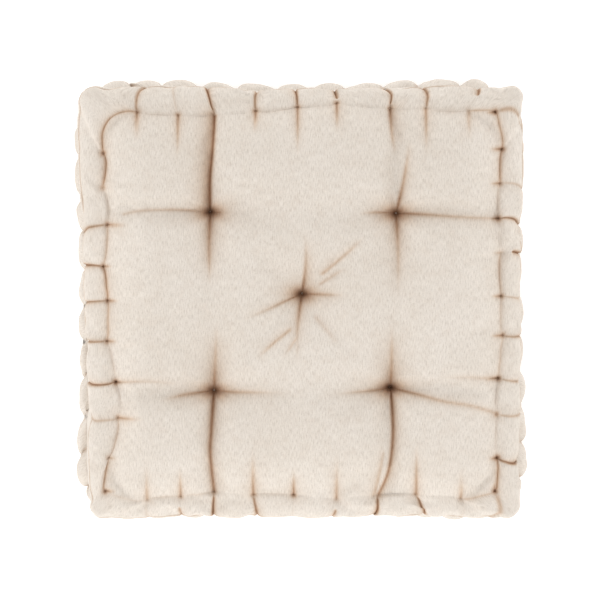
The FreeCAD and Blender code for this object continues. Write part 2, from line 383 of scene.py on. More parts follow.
def side_profile(groove, upper_out, lower_out, lower_groove, swell):
    """Rows of points from the stitched groove over the upper roll, down the boxing, round the
    lower roll and in to the groove under the pad. Each row runs once round the pad."""
    upper_angles = np.linspace(UPPER_FROM, UPPER_TO, ROLL_ROWS + 1)
    lower_angles = np.linspace(LOWER_FROM, LOWER_TO, ROLL_ROWS + 1)
    upper, _ = roll_rows(groove, upper_out, UPPER_FROM, UPPER_Z, upper_angles)
    lower, outward = roll_rows(lower_groove, lower_out, LOWER_TO, LOWER_Z, lower_angles)
    boxing = []
    for t in np.arange(1, BOXING_ROWS) / BOXING_ROWS:
        middle = upper[-1] + (lower[0] - upper[-1]) * t
        boxing.append(middle + swell * math.sin(math.pi * t) ** 0.7 * outward)
    return np.stack(upper + boxing + lower, axis=1)


def drifted(u, v, drift):
    """How far an outline lies off the even one, from how far its four corners do."""
    moves = [np.outer((1 + side_x * u) * (1 + side_y * v) / 4, by)
             for (side_x, side_y), by in drift.items()]
    return np.sum(moves, axis=0)


def build_shape(lines_u, lines_v):
    """Top grid, side rows and bottom grid for the given grid lines."""
    u, v = np.meshgrid(lines_u, lines_v, indexing="ij")
    x, y = plan(u, v, UPPER_IN, corners(7.0, 32.0))
    top = np.stack((x, y, face_height(u, v, x, y, TOP_Z + 1, GROOVE_Z, 20, 13, 1.0, 70)), axis=2)
    bx, by = plan(u, v, LOWER_IN, corners(10.0))
    under = face_height(u, v, bx, by, 0.0, -LOWER_Z * 0.41, 22, 12, 0.5, 22)
    bottom = np.stack((bx, by, -under), axis=2)
    ru, rv = rim(u), rim(v)
    upper_out = np.stack(plan(ru, rv, UPPER_OUT, corners(15.0, 20.0)), axis=1)
    upper_out += drifted(ru, rv, UPPER_DRIFT)
    lower_out = np.stack(plan(ru, rv, LOWER_OUT, corners(66.0)), axis=1)
    lower_out += drifted(ru, rv, LOWER_DRIFT)
    sides = side_profile(rim(top)[:, :2], upper_out, lower_out, rim(bottom)[:, :2], 3.0)
    sides[:, 0], sides[:, -1] = rim(top), rim(bottom)
    return top, sides, bottom


# ---- meshes


def ring_numbers(count_u, count_v):
    """The grid's own vertex numbers round its rim."""
    return rim(np.arange(count_u * count_v).reshape(count_u, count_v))


def grid_faces(ids):
    """Quads of a grid of vertex numbers, facing up."""
    return np.stack((ids[:-1, :-1], ids[1:, :-1], ids[1:, 1:], ids[:-1, 1:]), axis=-1).reshape(-1, 4)


def band_faces(ids, closed):
    """Quads between neighbouring columns and rows of vertex numbers, facing out."""
    after = np.roll(ids, -1, axis=0) if closed else ids[1:]
    here = ids if closed else ids[:-1]
    return np.stack((here[:, :-1], here[:, 1:], after[:, 1:], after[:, :-1]), axis=-1).reshape(-1, 4)


def make_mesh(name, points, face_lists):
    """A mesh object from points in millimetres and lists of faces of one size each."""
    mesh = bpy.data.meshes.new(name)
    mesh.vertices.add(len(points))
    mesh.vertices.foreach_set("co", (np.asarray(points) * MM).astype(np.float32).ravel())
    sizes = np.concatenate([np.full(len(faces), faces.shape[1]) for faces in face_lists])
    vertex_numbers = np.concatenate([faces.ravel() for faces in face_lists]).astype(np.int32)
    mesh.loops.add(len(vertex_numbers))
    mesh.loops.foreach_set("vertex_index", vertex_numbers)
    mesh.polygons.add(len(sizes))
    starts = np.concatenate(([0], np.cumsum(sizes)[:-1])).astype(np.int32)
    mesh.polygons.foreach_set("loop_start", starts)
    mesh.polygons.foreach_set("use_smooth", np.ones(len(sizes), bool))
    mesh.update(calc_edges=True)
    mesh.validate()
    return add_object(name, mesh)


def closed_surface(top, sides, bottom):
    """The whole pad as one closed surface: its points, its faces, and the vertex numbers of
    its side columns and of its underside."""
    n_top = top.shape[0] * top.shape[1]
    inner = sides[:, 1:-1]
    points = np.concatenate((top.reshape(-1, 3), inner.reshape(-1, 3), bottom.reshape(-1, 3)))
    side_ids = np.empty(sides.shape[:2], int)
    side_ids[:, 0] = ring_numbers(*top.shape[:2])
    side_ids[:, 1:-1] = n_top + np.arange(inner.shape[0] * inner.shape[1]).reshape(inner.shape[:2])
    first_bottom = n_top + inner.shape[0] * inner.shape[1]
    side_ids[:, -1] = first_bottom + ring_numbers(*bottom.shape[:2])
    top_ids = np.arange(n_top).reshape(top.shape[:2])
    bottom_ids = first_bottom + np.arange(bottom.shape[0] * bottom.shape[1]).reshape(bottom.shape[:2])
    faces = np.concatenate((
        grid_faces(top_ids), band_faces(side_ids, True), grid_faces(bottom_ids)[:, ::-1],
    ))
    return points, faces, side_ids, first_bottom


# ---- stuffing it: cloth under pressure

SIM_LINES = 80
SIM_FRAMES = 20
# How far the pressure may move any point, how near a tuft's middle the cloth is held, and how
# sharp a stitch's fold must be to hold the cloth at the roll's far side too
CAP = 7.0
TUFT_HOLD = 6
HOLDING_FOLD = 0.3


def stitch_columns(outline, side, places):
    """Which column of the side rows each place along a side falls on, as a fraction."""
    n = len(outline) // 4
    start = SIDES.index(side) * n
    around = [(start + k) % len(outline) for k in range(n + 1)]
    axis = 0 if side in ("front", "back") else 1
    along = outline[around, axis]
    order = np.argsort(along)
    return start + np.interp(places, along[order], np.arange(n + 1)[order])


def upper_stitch_list(outline, outer):
    """Every stitch of the upper roll: its column at the groove and at the roll's outer edge,
    its crease's length, its pit, its fold, where that starts, which way it laps, and its side."""
    found = []
    n = len(outline) // 4
    for index, side in enumerate(SIDES):
        for place, _, lean, crease, pit, fold, start, _ in UPPER_STITCHES[side]:
            inner_column = stitch_columns(outline, side, place)
            outer_column = stitch_columns(outer, side, place + lean)
            leans = 1 if outer_column >= inner_column else -1
            found.append((float(inner_column), float(outer_column), crease, pit, fold, start, leans, side))
        if side in CORNER_STITCHES:
            outer_side, outer_place, pit, fold = CORNER_STITCHES[side]
            corner = (index + 1) * n % len(outline)
            outer_column = float(stitch_columns(outer, outer_side, outer_place))
            if corner == 0:
                outer_column -= len(outline)
            found.append((float(corner), outer_column, 12, pit, fold, 0, 1, side))
    return sorted(found)


def lower_stitch_list(outer):
    """Every stitch of the lower roll, evenly round its outer edge: its column and its side."""
    n = len(outer) // 4
    at, total = ring_length(outer)
    places = (np.arange(LOWER_STITCHES) + 0.5 + LOWER_STITCH_DRIFT) * total / LOWER_STITCHES
    columns = np.interp(places, np.append(at, total), np.arange(len(outer) + 1))
    return [(float(column), SIDES[int(column // n) % 4]) for column in columns]


def evened(values, faces):
    """Values at a mesh's points, each half way to the mean of its neighbours."""
    total, count = np.zeros(values.shape), np.zeros(len(values))
    for k in range(4):
        here, there = faces[:, k], faces[:, (k + 1) % 4]
        count += np.bincount(here, minlength=len(values))
        for axis in range(3):
            total[:, axis] += np.bincount(here, values[there, axis], len(values))
    return 0.5 * values + 0.5 * total / count[:, None]


def simulate(top, sides, bottom):
    """Blows the case up from inside while the tufts and stitches hold it, and returns it."""
    start, faces, ids, first_bottom = closed_surface(top, sides, bottom)
    obj = make_mesh("stuffing_run", start, [faces])
    held = set()
    for place in TUFTS.values():
        near = flat_distance(start, place) < TUFT_HOLD
        held.update(np.nonzero(near)[0].tolist())
    columns = len(sides)
    for inner, outer, _, _, fold, _, _, _ in upper_stitch_list(sides[:, 0], sides[:, EDGE_ROWS[0]]):
        held.add(int(ids[round(inner) % columns, 0]))
        if fold >= HOLDING_FOLD:
            held.add(int(ids[round(outer) % columns, CREASE_ROWS[0]]))
    for column, _ in lower_stitch_list(sides[:, EDGE_ROWS[1]]):
        held.add(int(ids[round(column) % columns, -1]))
        held.add(int(ids[round(column) % columns, CREASE_ROWS[1]]))
    pins = obj.vertex_groups.new(name="held")
    pins.add(sorted(held), 1.0, "REPLACE")
    cloth = obj.modifiers.new("Cloth", "CLOTH")
    settings = cloth.settings
    settings.quality = 5
    settings.mass = 0.3
    settings.tension_stiffness = 12
    settings.compression_stiffness = 6
    settings.shear_stiffness = 4
    settings.bending_stiffness = 0.3
    settings.use_pressure = True
    settings.uniform_pressure_force = 4
    settings.vertex_group_mass = "held"
    settings.shrink_min = -0.03
    settings.effector_weights.gravity = 0
    cloth.collision_settings.use_collision = False
    scene = bpy.context.scene
    scene.frame_start, scene.frame_end = 1, SIM_FRAMES
    cloth.point_cache.frame_end = SIM_FRAMES
    for number in range(1, SIM_FRAMES + 1):
        scene.frame_set(number)
    shaped = obj.evaluated_get(bpy.context.evaluated_depsgraph_get()).data
    end = np.empty(start.size, np.float32)
    shaped.vertices.foreach_get("co", end)
    end = end.reshape(-1, 3) / MM
    scene.frame_set(1)
    bpy.data.objects.remove(obj)
    moved = end - start
    length = np.linalg.norm(moved, axis=1, keepdims=True)
    moved *= CAP * np.tanh(length / CAP) / np.maximum(length, 1e-6)
    end = start + evened(moved, faces)
    n_top = top.shape[0] * top.shape[1]
    return (
        end[:n_top].reshape(top.shape),
        end[ids],
        end[first_bottom:].reshape(bottom.shape),
    )


# ---- the cloth's surface, fine

FINE_LINES = 240
# How many degrees round its roll each seam lies, above or below the outermost line
UPPER_SEAM_ANGLE = 6
LOWER_SEAM_ANGLE = -math.degrees(math.asin(5 / 16))
UPPER_SEAM_ROW = ROLL_ROWS * (UPPER_FROM - UPPER_SEAM_ANGLE) / (UPPER_FROM - UPPER_TO)
LOWER_SEAM_ROW = CREASE_ROWS[1] + ROLL_ROWS * (LOWER_FROM - LOWER_SEAM_ANGLE) / (LOWER_FROM - LOWER_TO)
# Fine rows from the groove to the upper seam, on to the lower seam, and to the groove below
FINE_ROWS = (20, 40, 20)
UPPER_SEAM = FINE_ROWS[0]
LOWER_SEAM = UPPER_SEAM + FINE_ROWS[1]
# How far along a fold its depth and its darkness last, and how far its steep side reaches
DEPTH_LASTS, SHADE_LASTS = 40, 26
STEEP_SIDE = 1.8
# A fold that ends this near to the middle tapers off. One that ends further out runs on.
TAPER_INSIDE = 190
# How many degrees over the upper roll a fold has leaned as far as it goes
LEANED_BY = 105
# How deep the lower roll is pinched at a stitch
LOBE_PINCH = 8.0
# How many columns past the front left corner the places round the pad are known
OVERLAP = 20


def graded_lines(half, centres, count):
    """Grid lines from -1 to 1 that crowd together at the tufts and at the edges."""
    x = np.linspace(-half, half, 2001)
    density = np.full(x.shape, 1.0)
    for centre in centres:
        density += 0.9 * fade(x - centre, 9, 2)
    density += 0.5 * fade(half - np.abs(x), 12, 2)
    total = np.concatenate(([0], np.cumsum((density[1:] + density[:-1]) / 2)))
    return np.interp(np.linspace(0, total[-1], count + 1), total, x) / half


def row_places(last):
    """Where the fine rows lie among the coarse ones."""
    marks = (0, UPPER_SEAM_ROW, LOWER_SEAM_ROW, last)
    parts = [np.linspace(a, b, n, endpoint=False) for a, b, n in zip(marks, marks[1:], FINE_ROWS)]
    return np.concatenate(parts + [[last]])


def refine(top, sides, bottom, lines_u, lines_v):
    """Reads the coarse surfaces smoothly at the fine grid lines."""
    n = top.shape[0] - 1
    at_u = (lines_u + 1) / 2 * n
    at_v = (lines_v + 1) / 2 * n
    wu = spline_weights(at_u, n + 1)
    wv = spline_weights(at_v, n + 1)
    fine_top = np.einsum("ai,ijk,bj->abk", wu, top, wv, optimize=True)
    fine_bottom = np.einsum("ai,ijk,bj->abk", wu, bottom, wv, optimize=True)
    round_at = np.concatenate((at_u[:-1], n + at_v[:-1], 3 * n - at_u[:0:-1], 4 * n - at_v[:0:-1]))
    wr = spline_weights(round_at, 4 * n, closed=True)
    ws = spline_weights(row_places(sides.shape[1] - 1), sides.shape[1])
    fine_sides = np.einsum("ai,ijk,bj->abk", wr, sides, ws, optimize=True)
    fine_sides[:, 0], fine_sides[:, -1] = rim(fine_top), rim(fine_bottom)
    return fine_top, fine_sides, fine_bottom


def along_side(side, places):
    """How far in the stitched line lies at places along a side."""
    stitches = sorted(UPPER_STITCHES[side])
    at = np.array([s[0] for s in stitches])
    inset = np.array([s[1] for s in stitches])
    k = np.clip(np.searchsorted(at, places) - 1, 0, len(at) - 2)
    t = np.clip((places - at[k]) / (at[k + 1] - at[k]), 0, 1)
    bulge = LINE_BULGE[side] * (1 - np.abs(2 * t - 1) ** 2.5)
    return inset[k] + (inset[k + 1] - inset[k]) * t + bulge


def draw_in(top, sides, u, v):
    """Moves the stitched line in or out to where the needle went, and the cloth around it."""
    shift = np.zeros(top.shape)
    for side, axis, sign in (("front", 1, -1), ("right", 0, 1), ("back", 1, 1), ("left", 0, -1)):
        other = top[..., 1 - axis]
        near = (1 - sign * (u if axis == 0 else v)) * UPPER_IN[axis]
        to_corner = UPPER_IN[1 - axis] - np.abs(other)
        inward = along_side(side, other) * smoothstep(to_corner / 40)
        shift[..., axis] -= sign * inward * fade(near, 38, 2)
    share = (1 - smoothstep(np.arange(sides.shape[1]) / (0.8 * UPPER_SEAM)))[None, :, None]
    return top + shift, sides + rim(shift)[:, None, :] * share


def read_ring(values, column):
    """A ring's point at a fractional column, or its points at many."""
    low = np.floor(column).astype(int)
    part = np.expand_dims(column - low, -1)
    return values[low % len(values)] * (1 - part) + values[(low + 1) % len(values)] * part


def between(places, at, total):
    """For each place round the pad: the stitches before and after it, and the way between."""
    order = np.argsort(at)
    wrapped = np.concatenate(([at[order[-1]] - total], at[order], [at[order[0]] + total]))
    number = np.concatenate(([order[-1]], order, [order[0]]))
    k = np.clip(np.searchsorted(wrapped, places, side="right") - 1, 0, len(wrapped) - 2)
    low, high = wrapped[k], wrapped[k + 1]
    return number[k], number[k + 1], places - low, high - places


def bead(before, after, power):
    """A rounded swelling between two stitches: 0 at each and 1 half way."""
    t = before / (before + after)
    return np.clip(1 - np.abs(2 * t - 1) ** power, 0, 1) ** (1 / power)


def cloth_marks(x, y, groove, stitches):
    """What folds, tufts and stitches do to the cloth over a point: height, and painted shade in their folds
    and pits.
    """
    height = np.zeros(x.shape)
    dark = np.zeros(x.shape)
    for points, deep_start, deep_end, slope, reach, shade_start, shade_end in FOLDS:
        path = curve_through(points, 4.0)
        length = np.linalg.norm(np.diff(path, axis=0), axis=1).sum()
        distance, way, along = polyline_place(x, y, path)
        gentle = np.where((slope == 0) | (way == slope), float(reach), STEEP_SIDE)
        gone = along * length
        depth = deep_end + (deep_start - deep_end) * fade(gone, DEPTH_LASTS)
        shade = shade_end + (shade_start - shade_end) * fade(gone, SHADE_LASTS)
        if np.abs(points[-1]).max() < TAPER_INSIDE:
            taper = smoothstep((length - gone) / (0.5 * length))
            depth, shade = depth * taper, shade * taper
        dip = depth * fade(distance, gentle) * fade(distance, 3 * gentle, 2)
        height = np.minimum(height, -dip)
        # painted shade: a dark core along the fold and a tan halo on its gentle side
        line = 0.4 * fade(distance, 1.6, 1.4) + 0.55 * fade(distance, 1.05 * gentle)
        dark = np.maximum(dark, shade * line)
    for place in TUFTS.values():
        dx, dy = np.abs(x - place[0]), np.abs(y - place[1])
        height -= 4 * fade(np.hypot(dx / 1.3, dy), 4)
        # painted shade: a brown halo round the tuft's pit
        dark = np.maximum(dark, fade(np.hypot(dx / 11, dy / 7), 1, 1.15))
        r = np.hypot(dx, dy)
        angle = np.arctan2(y - place[1], x - place[0])
        ripple = np.sin(9 * angle + place[0]) + 0.6 * np.sin(14 * angle + place[1])
        height += 0.45 * ripple * fade(r, 16) * (1 - fade(r, 7))
    for inner, _, crease, pit, _, _, _, side in stitches:
        spot = read_ring(groove, inner)[:2]
        r = np.hypot(x - spot[0], y - spot[1])
        height -= (1 + 3 * pit) * fade(r, 2.8, 1.2)
        # painted shade in the stitch's pit
        dark = np.maximum(dark, pit * (0.7 * fade(r, 2.4, 1.4) + 0.3 * fade(r, 5)))
        if crease:
            inward = {"front": (0, 1), "right": (-1, 0), "back": (0, -1), "left": (1, 0)}[side]
            path = np.array((spot, spot + 1.25 * crease * np.array(inward)))
            distance, _, along = polyline_place(x, y, path)
            fading = (0.4 + 0.6 * pit) * (1 - smoothstep(along))
            height -= 4.0 * fading * fade(distance, 2.6)
            # painted shade along the crease that the stitch pulls in
            line = 0.42 * fade(distance, 1.5, 1.3) + 0.3 * fade(distance, 5)
            dark = np.maximum(dark, fading * line)
    return height, dark


def line_depth(side, places):
    """How deep the stitched line is at places along a side, 0 to 1."""
    at, depth = [], []
    before = FIRST_LINE[side]
    for stitch in UPPER_STITCHES[side]:
        at += [stitch[0] - 5, stitch[0] + 5]
        depth += [before, stitch[-1]]
        before = stitch[-1]
    return np.interp(places, at, depth)


def groove_marks(distance, deep):
    """The stitched line between its stitches: height, and painted shade in its groove, at a distance from
    it.
    """
    # where nothing holds it the cloth runs on from the panel over the roll
    height = 2.2 * np.clip(1 - deep / 0.15, 0, 1) * fade(distance, 7, 2)
    height = height - 3.2 * deep * fade(distance, 2.8)
    # the darkness is painted shade along the groove
    return height, deep * (0.45 * fade(distance, 1.4, 1.3) + 0.3 * fade(distance, 5))


def way_over(rows):
    """How far over the upper roll each row lies: 0 at the groove and 1 past its outer edge."""
    degrees_gone = rows * (UPPER_FROM - UPPER_TO) / ROLL_ROWS
    return np.clip(degrees_gone / LEANED_BY, 0, 1)


def follow_folds(sides, stitches):
    """Slides the roll's points along it so that each leaning fold keeps to one column, and
    returns the stitches' new columns too. The corners stay."""
    at, slide = [corner * FINE_LINES for corner in range(5)], [0.0] * 5
    straight = []
    for stitch in stitches:
        inner, outer = stitch[:2]
        if inner % FINE_LINES:
            inner = round(inner)
            at.append(inner)
            slide.append(outer - inner)
            outer = inner
        straight.append((inner, outer, *stitch[2:]))
    order = np.argsort(at)
    columns = np.arange(len(sides))
    slide = np.interp(columns, np.array(at)[order], np.array(slide)[order])
    ways = way_over(row_places(ALL_ROWS))
    ways *= 1 - smoothstep((np.arange(sides.shape[1]) - UPPER_SEAM - 8) / 20)
    moved = sides.copy()
    for row, way in enumerate(ways):
        moved[:, row] = read_ring(sides[:, row], columns + slide * way)
    return moved, straight


def side_marks(sides, stitches, lower_stitches):
    """What the stitches do to both rolls and the boxing: height, and darkness that is painted shade at the
    folds and pinches and a dark line along the seams.
    """
    rows = row_places(ALL_ROWS)
    degrees = UPPER_FROM + rows * (UPPER_TO - UPPER_FROM) / ROLL_ROWS
    ways = way_over(rows)
    lower_degrees = LOWER_FROM + (rows - CREASE_ROWS[1]) * (LOWER_TO - LOWER_FROM) / ROLL_ROWS
    height = np.zeros(sides.shape[:2])
    dark = np.zeros(sides.shape[:2])
    columns = np.arange(-OVERLAP, len(sides) + 1)
    inner, outer, sharp, start, laps = (np.array([s[k] for s in stitches]) for k in (0, 1, 4, 5, 6))
    # the corners' folds run across the columns, so they're broader and softer
    corner = inner % FINE_LINES == 0
    for row in range(sides.shape[1]):
        place, total = ring_length(sides[:, row])
        places = np.concatenate((place[-OVERLAP:] - total, place, [total]))
        lower = np.interp([s[0] for s in lower_stitches], columns, places)
        if rows[row] < ROLL_ROWS + BOXING_ROWS / 2:
            way = ways[row]
            at = np.interp(inner + (outer - inner) * way, columns, places)
            first, second, before, after = between(place, at, total)
            nearest = np.where(before < after, first, second)
            keen = sharp[nearest] * smoothstep((way - start[nearest]) / 0.15 + 0.5)
            near = np.minimum(before, after)
            grip = smoothstep(way * 6) * (1 - smoothstep((-degrees[row] - 5) / 60))
            soft_side = laps[nearest] * np.where(before < after, 1, -1) > 0
            opening = 0.4 + 0.6 * smoothstep(way * 1.1)
            width = np.where(soft_side, 1.5 + 3.0 * opening, 1.2)
            height[:, row] -= grip * (0.5 + 1.2 * keen) * (1 - bead(before, after, 3.2))
            sharp_dip = (0.8 + 2.6 * opening) * fade(near, width)
            soft_dip = 2.2 * fade(near, 4.5, 2)
            height[:, row] -= grip * keen * np.where(corner[nearest], soft_dip, sharp_dip)
            # painted shade along the fold over the roll, darkest at its core
            fold = (0.2 + 0.45 * opening) * fade(near, 0.7 + opening, 1.4)
            fold = fold + 0.35 * fade(near, width)
            fold = np.where(corner[nearest], 0.5 * fade(near, 3, 2), fold)
            dark[:, row] = np.maximum(dark[:, row], grip * keen * fold)
        if rows[row] > ROLL_ROWS + BOXING_ROWS * 0.6:
            first, second, before, after = between(place, lower, total)
            near = np.minimum(before, after)
            angle = lower_degrees[row]
            grip = smoothstep((130 - angle) / 60) * (1 - smoothstep((-angle - 70) / 70))
            height[:, row] -= grip * LOBE_PINCH * (1 - bead(before, after, 2.0))
            height[:, row] -= grip * fade(near, 1.6)
            # painted shade in the pinch between two lobes of the lower roll
            dark[:, row] = np.maximum(dark[:, row], 0.35 * grip * fade(near, 1.2, 1.4))
    for seam in (UPPER_SEAM, LOWER_SEAM):
        off = np.abs(np.arange(sides.shape[1]) - seam)
        height -= 0.7 * fade(off, 0.9)
        dark = np.maximum(dark, 0.3 * fade(off, 0.6))
    boxing = slice(UPPER_SEAM, LOWER_SEAM + 1)
    half_way = len(sides) / 2
    for corner in range(4):
        off = np.abs((np.arange(len(sides)) - corner * FINE_LINES + half_way) % len(sides) - half_way)
        off = off[:, None]
        height[:, boxing] -= 0.7 * fade(off, 0.9)
        dark[:, boxing] = np.maximum(dark[:, boxing], 0.4 * fade(off, 0.6))
    return height, dark


def vertex_normals(points, faces):
    """Area-weighted normals at each point."""
    a, b, c, d = (points[faces[:, k]] for k in range(4))
    across = np.cross(c - a, d - b)
    total = np.zeros(points.shape)
    for axis in range(3):
        for k in range(4):
            total[:, axis] += np.bincount(faces[:, k], across[:, axis], len(points))
    return total / np.maximum(np.linalg.norm(total, axis=1, keepdims=True), 1e-9)


def pooled_low(values, step, wraps):
    """Each value's lowest neighbour within step places both ways."""
    for axis in (0, 1):
        widths = [(0, 0), (0, 0)]
        widths[axis] = (step, step)
        padded = np.pad(values, widths, mode="wrap" if wraps and axis == 0 else "edge")
        size = values.shape[axis]
        pieces = [np.take(padded, range(k, k + size), axis=axis) for k in range(2 * step + 1)]
        values = np.min(pieces, axis=0)
    return values


# ---- the cover's pieces

CLOTH = 1.5
FILLING_GAP = 1.2
# How deep under the surface the cloth's inside and the filling may lie, at the most
DEEPEST = 15.3


def hem(outer, inner):
    """Faces between an outer ring of vertex numbers and an inner ring of half as many."""
    a, b, c = outer[0::2], outer[1::2], np.roll(outer, -2)[0::2]
    here, there = inner, np.roll(inner, -1)
    return np.concatenate((
        np.stack((b, a, here), axis=1), np.stack((c, b, there), axis=1), np.stack((b, here, there), axis=1),
    ))


def cap_numbers(top_shape, rows, first):
    """Vertex numbers of a face grid with rows of columns round it."""
    n_top = top_shape[0] * top_shape[1]
    columns = 2 * (top_shape[0] + top_shape[1]) - 4
    ids = np.empty((columns, rows), int)
    ids[:, 0] = first + ring_numbers(*top_shape)
    ids[:, 1:] = first + n_top + np.arange(columns * (rows - 1)).reshape(columns, rows - 1)
    return first + np.arange(n_top).reshape(top_shape), ids


def cap_points(grid, rows):
    return np.concatenate((grid.reshape(-1, grid.shape[-1]), rows[:, 1:].reshape(-1, rows.shape[-1])))


def cap_shell(name, outer_grid, outer_rows, inner_grid, inner_rows, upward):
    """A face and its share of the roll as a shell: fine outside, half as fine inside. Values
    are x, y, z in millimetres and then what the material reads."""
    grid_ids, row_ids = cap_numbers(outer_grid.shape[:2], outer_rows.shape[1], 0)
    values = cap_points(outer_grid, outer_rows)
    in_grid_ids, in_row_ids = cap_numbers(inner_grid.shape[:2], inner_rows.shape[1], len(values))
    values = np.concatenate((values, cap_points(inner_grid, inner_rows)))
    outside = np.concatenate((grid_faces(grid_ids), band_faces(row_ids, True)))
    inside = np.concatenate((grid_faces(in_grid_ids), band_faces(in_row_ids, True)))[:, ::-1]
    edge = hem(row_ids[:, -1], in_row_ids[:, -1])
    if not upward:
        outside, inside, edge = outside[:, ::-1], inside[:, ::-1], edge[:, ::-1]
    return cloth_piece(name, values, [outside, inside, edge])


def strip_shell(name, outer, inner):
    """A boxing strip as a shell, from its outer and inner grids of columns and rows."""
    outer_ids = np.arange(outer.shape[0] * outer.shape[1]).reshape(outer.shape[:2])
    values = outer.reshape(-1, outer.shape[-1])
    inner_ids = len(values) + np.arange(inner.shape[0] * inner.shape[1]).reshape(inner.shape[:2])
    values = np.concatenate((values, inner.reshape(-1, inner.shape[-1])))
    edge = hem(rim(outer_ids), rim(inner_ids))
    faces = [band_faces(outer_ids, False), band_faces(inner_ids, False)[:, ::-1], edge[:, ::-1]]
    return cloth_piece(name, values, faces)


def cloth_piece(name, values, face_lists):
    """A piece of cloth, which keeps its weave's directions and the painted shade of its folds for the
    material.
    """
    piece = make_mesh(name, values[:, :3], face_lists)
    weave = piece.data.attributes.new("weave", "FLOAT_VECTOR", "POINT")
    weave.data.foreach_set("vector", (values[:, 3:6] * MM).astype(np.float32).ravel())
    fold = piece.data.attributes.new("fold", "FLOAT", "POINT")
    fold.data.foreach_set("value", np.clip(values[:, 6], 0, 1).astype(np.float32))
    return piece


def way_down(sides):
    """How far down its column from the rim each point of the sides lies."""
    steps = np.linalg.norm(np.diff(sides, axis=1), axis=2)
    return np.concatenate((np.zeros((len(sides), 1)), np.cumsum(steps, axis=1)), axis=1)


def lifted(shape, normal, height, low=0.0):
    """A surface moved along its normals, but nowhere below a height."""
    moved = shape + normal * height[..., None]
    moved[..., 2] = np.maximum(moved[..., 2], low)
    return moved


def reading(flat, level, dark):
    """What the material reads: where a point lies on its flat cloth, and how much painted shade its fold
    gets.
    Each level has its own stretch of weave."""
    return np.concatenate((flat, np.full((*dark.shape, 1), level), dark[..., None]), axis=2)


def tuft_gap(grid):
    """How much further the filling keeps back from the cloth near the tufts."""
    return sum(8 * fade(flat_distance(grid, place), 10, 2) for place in TUFTS.values())


# The levels of weave of the boxing and of the underside
BOXING_WEAVE = 500.0
UNDER_WEAVE = 900.0


